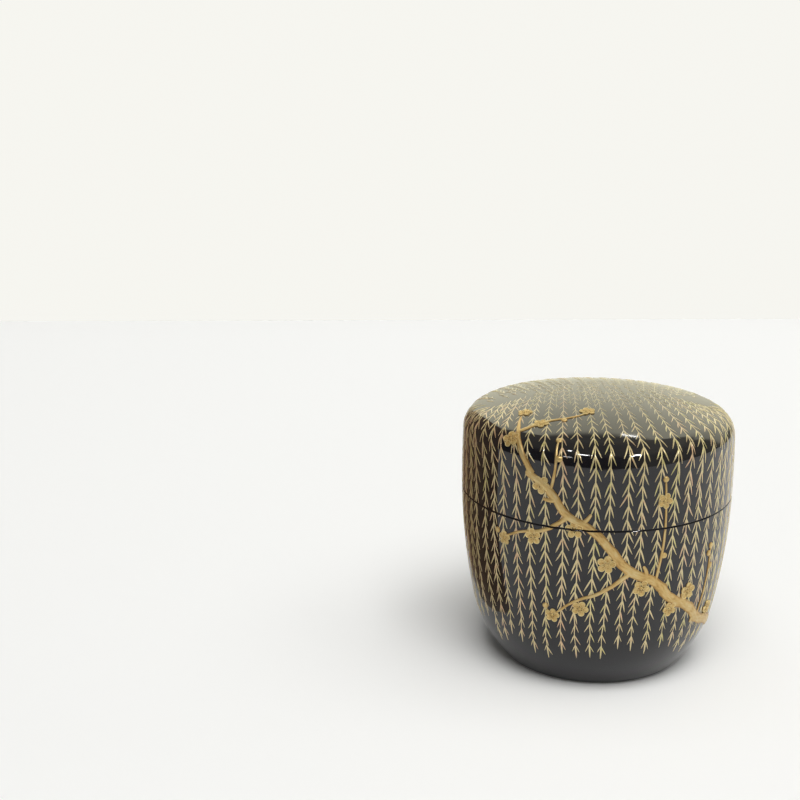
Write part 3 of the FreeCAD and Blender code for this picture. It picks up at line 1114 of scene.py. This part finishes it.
class Finish(Nodes):
    """A material that is built from nodes. A stroke's mark is three numbers that its mesh carries."""

    def __init__(self, name):
        self.material = bpy.data.materials.new(name)
        self.material.use_nodes = True
        super().__init__(self.material.node_tree)
        self.shader = self.tree.nodes["Principled BSDF"]
        self.coordinates = self.add("ShaderNodeTexCoord").outputs["Object"]

    def mark(self):
        """The stroke's mark, as a vector and as its three numbers."""
        vector = self.add("ShaderNodeAttribute", {"attribute_name": "stroke"}).outputs["Vector"]
        return vector, self.add("ShaderNodeSeparateXYZ", Vector=vector).outputs

    def noise(self, scale, detail=3, roughness=0.5, stretch=(1, 1, 1), vector=None):
        """Noise in the object's own space, with so many lumps to the metre, or along a vector."""
        mapping = self.add("ShaderNodeMapping", Vector=vector or self.coordinates, Scale=stretch)
        amounts = {"Scale": scale, "Detail": detail, "Roughness": roughness}
        return self.add("ShaderNodeTexNoise", Vector=mapping.outputs[0], **amounts).outputs[0]

    def bump(self, height, strength, distance):
        """Small relief for the shader."""
        node = self.add("ShaderNodeBump", Height=height, Strength=strength, Distance=distance)
        self.set(self.shader, "Normal", node.outputs[0])

    def shade(self, **inputs):
        """Sets or links the shader's inputs."""
        for key, value in inputs.items():
            self.set(self.shader, key.replace("_", " "), value)
        return self.material

    def gild(self, tint, grain, relief, polish, **inputs):
        """Shades gold powder in lacquer, whose grain gives it relief and breaks its polish."""
        self.bump(grain, *relief)
        rough = self.between(grain, 0.3, 0.7, *polish)
        return self.shade(Base_Color=tint, Metallic=0.6, Roughness=rough, IOR=1.5, **inputs)


def lacquer_finish(finish):
    """Black lacquer, polished by hand: a mirror with the faintest unevenness."""
    made = Finish("polished_black_lacquer")
    cloud = made.noise(60, 2)
    depth = made.noise(900, 3)
    brown = tuple(part * share for part, share in zip(finish.lacquer, (1.7, 1.1, 0.8)))
    rough = finish.lacquer_roughness
    made.bump(cloud, 0.02, 0.4 * MM)
    return made.shade(
        Base_Color=made.ramp(depth, (0.3, finish.lacquer), (0.75, brown)),
        Roughness=made.between(cloud, 0.3, 0.7, rough * 0.7, rough * 1.4),
        IOR=1.5,
    )


def willow_finish(finish):
    """Fine gold powder, pale, reddish or greenish, with painted shade that darkens it on the finest
    strokes, on the lid's top.
    """
    made = Finish("willow_gold")
    # The second number, powder, is the stroke's fineness, which sets the painted shade below.
    tone, powder, spare = made.mark()[1]
    zone = made.between(made.noise(420, 2), 0.3, 0.7)
    grain = made.noise(9000, 2)
    tint = made.ramp(
        made.plus(made.times(tone, 0.6), made.times(zone, 0.4)),
        (0.20, finish.green_gold),
        (0.42, finish.pale_gold),
        (0.58, finish.pale_gold),
        (0.80, finish.warm_gold),
    )
    # Painted shade: the gold is darkened on the finest strokes, on the lid's top.
    painted_top_shade = made.between(powder, FINEST, 1, 0.62, 1)
    shaded_tint = made.add("ShaderNodeVectorMath", {"operation": "SCALE"}, Vector=tint, Scale=painted_top_shade)
    return made.gild(
        shaded_tint.outputs[0],
        grain,
        (0.25, 0.02 * MM),
        (0.34, 0.48),
        Coat_Weight=1,
        Coat_Roughness=0.09,
        Coat_IOR=1.5,
    )


def bough_finish(finish):
    """Raised gold with streaks along the bark, darker towards the edges: partly the bark's darker rims,
    partly painted shade where the relief slopes away.
    """
    made = Finish("bough_gold")
    vector, (across, along, tone) = made.mark()
    streak = made.noise(1, 4, 0.6, (2.6, 0.55, 9), vector)
    patch = made.noise(240, 2)
    grain = made.noise(5200, 3)
    # Darker towards the edges: partly the bark's darker rims, partly painted shade on the relief's
    # sloping sides.
    edge = made.between(made.math("ABSOLUTE", across), 0.55, 1.0, 0, 0.22, eased=True)
    mixed = made.plus(made.times(streak, 0.6), made.times(patch, 0.4))
    tint = made.ramp(
        made.math("SUBTRACT", mixed, edge),
        (0.28, finish.bark_gold),
        (0.47, finish.bough_gold),
        (0.66, finish.pale_gold),
    )
    return made.gild(tint, grain, (0.35, 0.05 * MM), (0.3, 0.48))


def blossom_finish(finish):
    """Raised gold, paler than the bough out on the petals and darker towards the heart, with painted
    shade that darkens the petals' low dishes and lightens their raised rims.
    """
    made = Finish("blossom_gold")
    out, up, tone = made.mark()[1]
    patch = made.between(made.noise(900, 2), 0.3, 0.7, -0.12, 0.12)
    grain = made.noise(7000, 2)
    open_out = made.between(out, 0.3, 2.0, 0.10, 0.5)
    # Painted shade: the gold is darker where it lies low, in the petals' dishes, and paler on their
    # raised rims.
    height = made.between(up, 0.14, 0.29, 0, 0.5)
    tint = made.ramp(
        made.plus(made.plus(open_out, height), patch),
        (0.15, finish.bark_gold),
        (0.50, finish.bough_gold),
        (0.90, finish.petal_gold),
    )
    return made.gild(tint, grain, (0.2, 0.03 * MM), (0.26, 0.42))


def wood_finish(finish):
    """Fine turned wood with growth rings and pores, under the lacquer."""
    made = Finish("turned_wood")
    warp = made.noise(40, 3, 0.6, (1, 1, 0.25))
    rings = made.add(
        "ShaderNodeTexWave",
        {"wave_type": "RINGS", "rings_direction": "Z"},
        Vector=made.coordinates,
        Scale=95,
        Distortion=2.2,
    )
    pores = made.noise(1500, 2, 0.6, (1, 1, 0.08))
    dark = tuple(0.55 * part for part in finish.wood)
    grain = made.plus(made.times(rings.outputs["Fac"], 0.5), made.between(warp, 0.3, 0.7, 0, 0.5))
    made.bump(pores, 0.3, 0.1 * MM)
    return made.shade(
        Base_Color=made.ramp(grain, (0.1, dark), (0.8, finish.wood)),
        Roughness=made.between(pores, 0.3, 0.7, 0.5, 0.7),
    )


def table_finish(studio):
    """Pale table with painted light: its colour is lighter towards the back, it glows brighter towards
    the back where the camera sees it, and a painted reflection glows towards the right where glossy
    surfaces mirror it.
    """
    made = Finish("pale_table")
    apart = made.add("ShaderNodeSeparateXYZ", Vector=made.coordinates)
    # Painted light: the colour is lighter towards the back, as if more light fell there.
    far = made.between(apart.outputs["Y"], -0.1, 0.44, 0, 1)
    near_tint = studio.table_colour
    tint = made.ramp(far, (0, near_tint), (1, [min(1, part * 1.04) for part in near_tint]))
    made.shade(Base_Color=tint, Roughness=0.9, Specular_IOR_Level=0.1)
    # Painted reflection: a glow towards the right and the back that only glossy rays see.
    side = made.between(apart.outputs["X"], -0.05, 0.25)
    back = made.between(apart.outputs["Y"], -0.25, 0.1)
    path = made.add("ShaderNodeLightPath")
    # Painted light: a glow towards the back that only the camera sees; the table is no lamp.
    behind = made.between(apart.outputs["Y"], -0.05, 0.40)
    mirrored = made.times(made.times(side, back), path.outputs["Is Glossy Ray"])
    seen = made.times(behind, path.outputs["Is Camera Ray"])
    painted_glow = made.plus(made.times(mirrored, 0.4), made.times(seen, 0.13))
    return made.shade(Emission_Color=near_tint, Emission_Strength=painted_glow)


def screen_finish():
    """Dull brown card that glows with painted light, and is paler towards its foot, painted light that
    fades its reflection into the lit table.
    """
    made = Finish("dull_card")
    patch = made.between(made.noise(20, 3), 0.3, 0.7, 0, 0.3)
    height = made.add("ShaderNodeSeparateXYZ", Vector=made.coordinates).outputs["Z"]
    # Painted light: the card is paler towards its foot, so that its reflection fades into the lit
    # table.
    low = made.between(height, 0.014, 0, 0, 0.4, eased=True)
    shade = made.plus(patch, low)
    # Painted light: the card glows, though it is no lamp.
    return made.shade(
        Base_Color=made.ramp(
            shade, (0, (0.30, 0.18, 0.11)), (0.3, (0.40, 0.26, 0.16)), (1, (0.75, 0.73, 0.70))
        ),
        Roughness=0.9,
        Emission_Color=made.ramp(low, (0, (1.0, 0.64, 0.32)), (0.4, (1.0, 0.80, 0.60))),
        Emission_Strength=0.10,
    )


def sky_light(world, studio):
    """The room: a pale wall behind, and dark towards the camera, as the lacquer mirrors it."""
    world.use_nodes = True
    world.node_tree.nodes.clear()
    made = Nodes(world.node_tree)
    way = made.add("ShaderNodeTexCoord").outputs["Generated"]
    right, back, up = made.add("ShaderNodeSeparateXYZ", Vector=way).outputs

    over_table = made.between(up, 0.06, 0.12, eased=True)
    well_behind = made.between(back, 0.76, 0.84, eased=True)
    behind = made.between(back, 0.28, 0.40, eased=True)
    under_ceiling = made.between(up, 0.70, 0.66, eased=True)
    clear = made.math("MAXIMUM", over_table, well_behind)
    wall = made.times(made.times(behind, under_ceiling), clear)
    wall_level = made.between(up, -0.1, 0.45, 1.0, 1.8, eased=True)
    ceiling = made.between(up, 0.55, 0.80, 0, 0.28, eased=True)
    window = made.between(right, 0.05, 0.60, 0, 0.28, eased=True)
    room_level = made.plus(made.plus(ceiling, window), 0.05)
    mirrored = made.add("ShaderNodeMix", {"data_type": "FLOAT"})
    for number, value in ((0, wall), (2, room_level), (3, wall_level)):
        made.set(mirrored, number, value)
    room = made.add("ShaderNodeBackground", Color=(1.0, 0.965, 0.74), Strength=mirrored.outputs[0])
    soft = made.add(
        "ShaderNodeBackground", Color=(1.0, 1.0, 0.98), Strength=made.between(right, -1, 1, 0.10, 0.16)
    )
    backdrop = made.add("ShaderNodeBackground", Color=studio.backdrop_colour, Strength=1.0)

    path = made.add("ShaderNodeLightPath")
    by_glass = made.math("MAXIMUM", path.outputs["Is Glossy Ray"], path.outputs["Is Transmission Ray"])
    lit = made.add("ShaderNodeMixShader", Fac=by_glass)
    seen = made.add("ShaderNodeMixShader", Fac=path.outputs["Is Camera Ray"])
    for node, first, second in ((lit, soft, room), (seen, lit, backdrop)):
        made.set(node, 1, first.outputs[0])
        made.set(node, 2, second.outputs[0])
    made.add("ShaderNodeOutputWorld", Surface=seen.outputs[0])


def aim(thing, target):
    """Turns a lamp to face a point."""
    thing.rotation_euler = (Vector(target) - thing.location).to_track_quat("-Z", "Y").to_euler()


def area_lamp(name, azimuth, elevation, distance, size, radiance, tilt=0, glint=True):
    """A rectangular lamp in a direction from the caddy, as bright as its radiance says.

    It is either a glint, which only glossy surfaces mirror, or light for the matt ones.
    """
    data = bpy.data.lights.new(name, "AREA")
    data.shape = "RECTANGLE"
    data.size, data.size_y = size
    data.energy = radiance * math.pi * size[0] * size[1]
    lamp = bpy.data.objects.new(name, data)
    bpy.context.scene.collection.objects.link(lamp)
    turn, rise = math.radians(azimuth), math.radians(elevation)
    lamp.location = (
        distance * math.cos(rise) * math.sin(turn),
        -distance * math.cos(rise) * math.cos(turn),
        0.06 + distance * math.sin(rise),
    )
    aim(lamp, (0, 0, 0.05))
    lamp.rotation_euler.rotate_axis("Z", math.radians(tilt))
    lamp.visible_camera = False
    lamp.visible_glossy = glint
    lamp.visible_diffuse = not glint
    return lamp


def coat(body, lacquer, pieces):
    """Lacquers pieces that ride on a body, each given with the node that it replaces."""
    for piece, node in pieces:
        piece.data.materials.append(lacquer)
        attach(piece, body)
        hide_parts(node)
    return {"FINISHED"}


def finish_pieces(pieces, material):
    """Gives each piece the material."""
    for piece in pieces:
        piece.data.materials.append(material)
    return {"FINISHED"}


class CADDY_OT_coat_cup(bpy.types.Operator):
    """Turn the lacquer coats of the cup: its side, its foot and its inside"""

    bl_idname = "caddy.coat_cup"
    bl_label = "Coat the cup"

    def execute(self, context):
        shape = context.scene.caddy_shape
        outline = Outline(shape)
        pieces = (
            (cup_side(shape, outline), "body_outer_lacquer"),
            (cup_foot(shape, outline), "foot_lacquer"),
            (cup_inside(shape, outline), "body_inner_lacquer"),
        )
        return coat("body", lacquer_finish(context.scene.caddy_finish), pieces)


class CADDY_OT_coat_lid(bpy.types.Operator):
    """Turn the lacquer coats of the lid: its outside and its inside"""

    bl_idname = "caddy.coat_lid"
    bl_label = "Coat the lid"

    def execute(self, context):
        shape = context.scene.caddy_shape
        outline = Outline(shape)
        pieces = (
            (lid_outside(shape, outline), "lid_outer_lacquer"),
            (lid_inside(shape, outline), "lid_inner_lacquer"),
        )
        return coat("lid", find("cup_side_lacquer").data.materials[0], pieces)


class CADDY_OT_hang_willow(bpy.types.Operator):
    """Hang the gold willow strands over the lid and down the sides"""

    bl_idname = "caddy.hang_willow"
    bl_label = "Hang the willow"

    def execute(self, context):
        scene = context.scene
        gold = willow_finish(scene.caddy_finish)
        return finish_pieces(hang_willow(scene.caddy_shape, scene.caddy_willow), gold)


class CADDY_OT_raise_bough(bpy.types.Operator):
    """Raise the gold plum bough across the seam"""

    bl_idname = "caddy.raise_bough"
    bl_label = "Raise the bough"

    def execute(self, context):
        scene = context.scene
        gold = bough_finish(scene.caddy_finish)
        return finish_pieces(raise_bough(scene.caddy_shape, scene.caddy_plum), gold)


class CADDY_OT_open_blossoms(bpy.types.Operator):
    """Open the gold blossoms and set the buds along the bough"""

    bl_idname = "caddy.open_blossoms"
    bl_label = "Open the blossoms"

    def execute(self, context):
        scene = context.scene
        gold = blossom_finish(scene.caddy_finish)
        return finish_pieces(open_blossoms(scene.caddy_shape, scene.caddy_plum), gold)


class CADDY_OT_grain_wood(bpy.types.Operator):
    """Give the turned cup and lid their wood"""

    bl_idname = "caddy.grain_wood"
    bl_label = "Grain the wood"

    def execute(self, context):
        wood = wood_finish(context.scene.caddy_finish)
        for name in ("body_core", "lid_core"):
            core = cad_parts[name]
            core.data.materials.clear()
            core.data.materials.append(wood)
        return {"FINISHED"}


class CADDY_OT_set_studio(bpy.types.Operator):
    """Set up the table, the lamps, the room and the camera"""

    bl_idname = "caddy.set_studio"
    bl_label = "Set the studio"

    def execute(self, context):
        studio = context.scene.caddy_studio
        self.lay_table(studio)
        self.stand_screen()
        self.hang_lamps()
        self.place_camera(context.scene, studio)
        context.scene.world = bpy.data.worlds.new("room")
        sky_light(context.scene.world, studio)
        context.scene.view_settings.view_transform = "Standard"
        return {"FINISHED"}

    def lay_table(self, studio):
        """The pale table, which ends in front of the caddy and far behind it."""
        deselect()
        depth = studio.table_back - studio.table_front
        middle = (studio.table_back + studio.table_front) / 2
        bpy.ops.mesh.primitive_plane_add(size=1, location=(0, middle, 0))
        bpy.ops.object.mode_set(mode="EDIT")
        resize(3, depth, 1, (0, middle, 0))
        table = named("pale_table")
        table.data.materials.append(table_finish(studio))

    def stand_screen(self):
        """A dull card on the left, which only the lacquer mirrors, and whose glow is painted light."""
        middle = (-0.050, 0.020, 0.056)
        deselect()
        bpy.ops.mesh.primitive_plane_add(size=1, location=middle, rotation=(0, math.pi / 2, 0))
        bpy.ops.object.mode_set(mode="EDIT")
        resize(1, 0.08, 0.112, middle)
        screen = named("side_screen")
        screen.data.materials.append(screen_finish())
        screen.visible_camera = False
        screen.visible_diffuse = False
        screen.visible_shadow = False

    def hang_lamps(self):
        """Broad lights from the front, the right and above, and small lamps for the glints."""
        area_lamp("front", 7, 62, 2.2, (1.5, 1.3), 5.4, glint=False)
        area_lamp("window", 76, 56, 2.2, (1.5, 1.3), 1.6, glint=False)
        area_lamp("ceiling", 0, 88, 2.4, (2, 2), 1.1, glint=False)
        area_lamp("strip_middle", -21.8, 45.7, 1.4, (0.21, 0.045), 90, tilt=-14)
        area_lamp("strip_left", -33.2, 29.4, 1.4, (0.17, 0.03), 30, tilt=-8)
        area_lamp("spot_left", -41.2, 58.5, 1.4, (0.06, 0.05), 90)
        area_lamp("strip_right", 32.0, 44.0, 1.4, (0.14, 0.035), 480, tilt=14)
        area_lamp("spot_back", 164.1, 43.4, 1.4, (0.07, 0.012), 18)
        area_lamp("spot_back_right", 125.2, 38.1, 1.4, (0.10, 0.015), 20)

    def place_camera(self, scene, studio):
        """The camera at the photograph's view."""
        camera = bpy.data.objects.new("camera", bpy.data.cameras.new("camera"))
        scene.collection.objects.link(camera)
        camera.data.lens = studio.lens
        camera.data.sensor_width = 36
        camera.data.clip_start = 0.01
        pitch = Matrix.Rotation(math.pi / 2 - studio.pitch, 3, "X")
        turn = pitch @ Matrix.Rotation(-studio.roll, 3, "Z")
        camera.location = studio.camera_place
        camera.rotation_euler = turn.to_euler()
        scene.camera = camera


class CADDY_PT_sidebar(bpy.types.Panel):
    """Sizes, finishes and steps for the tea caddy"""

    bl_idname = "CADDY_PT_sidebar"
    bl_label = "Tea caddy"
    bl_space_type = "VIEW_3D"
    bl_region_type = "UI"
    bl_category = "Caddy"

    def draw(self, context):
        for group in GROUPS:
            box = self.layout.box()
            settings = getattr(context.scene, group)
            for key in settings.__annotations__:
                box.prop(settings, key)
        for step in STEPS:
            self.layout.operator(step.bl_idname)


GROUPS = {
    "caddy_shape": CaddyShape,
    "caddy_willow": CaddyWillow,
    "caddy_plum": CaddyPlum,
    "caddy_finish": CaddyFinish,
    "caddy_studio": CaddyStudio,
}
STEPS = [
    CADDY_OT_coat_cup,
    CADDY_OT_coat_lid,
    CADDY_OT_hang_willow,
    CADDY_OT_raise_bough,
    CADDY_OT_open_blossoms,
    CADDY_OT_grain_wood,
    CADDY_OT_set_studio,
]


def register():
    for kind in (*GROUPS.values(), *STEPS, CADDY_PT_sidebar):
        bpy.utils.register_class(kind)
    for name, kind in GROUPS.items():
        setattr(bpy.types.Scene, name, PointerProperty(type=kind))


def unregister():
    for name in GROUPS:
        delattr(bpy.types.Scene, name)
    for kind in (CADDY_PT_sidebar, *reversed(STEPS), *reversed(list(GROUPS.values()))):
        bpy.utils.unregister_class(kind)


def main():
    """Builds everything in order."""
    register()
    bpy.ops.caddy.coat_cup()
    bpy.ops.caddy.coat_lid()
    bpy.ops.caddy.hang_willow()
    bpy.ops.caddy.raise_bough()
    bpy.ops.caddy.open_blossoms()
    bpy.ops.caddy.grain_wood()
    bpy.ops.caddy.set_studio()


if __name__ == "__main__":
    main()
